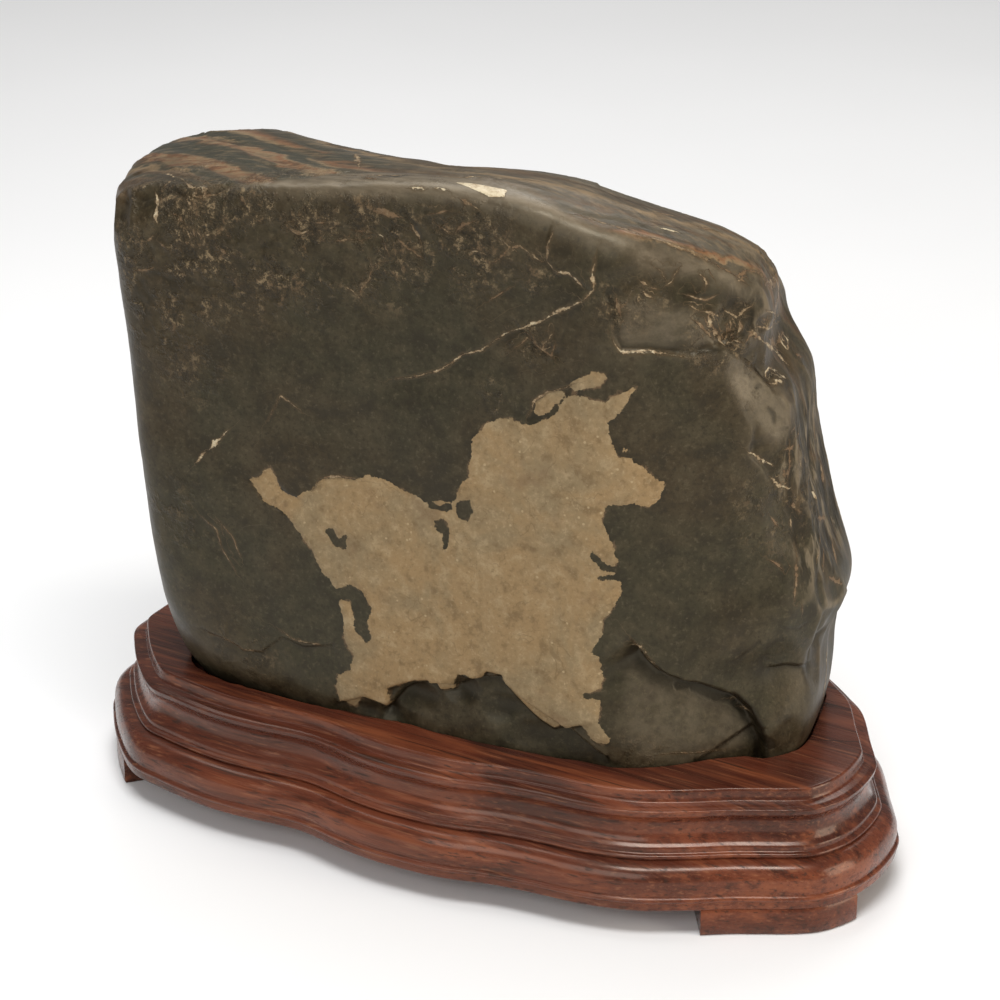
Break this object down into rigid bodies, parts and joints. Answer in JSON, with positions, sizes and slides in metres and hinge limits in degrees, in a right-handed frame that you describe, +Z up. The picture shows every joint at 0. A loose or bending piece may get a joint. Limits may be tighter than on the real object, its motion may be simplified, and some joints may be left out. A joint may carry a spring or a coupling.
{
  "type": "scholars rock on a carved stand",
  "caption": "Dark weathered viewing stone with tan mineral patches, seated in a fitted carved rosewood stand on low bracket feet.",
  "frame": {"origin": "on the floor under the middle of the whole piece", "axes": "+X along the long side towards the rock's rough right end, +Z up, the broad face of the rock looks along -Y"},
  "size_m": [0.4232, 0.2448, 0.348],
  "materials": {
    "dark_stone": "satin, waxed",
    "rosewood": "polished satin"
  },
  "bodies": {
    "root": {"stone": "dark_stone", "stand": "rosewood"}
  },
  "joints": []
}
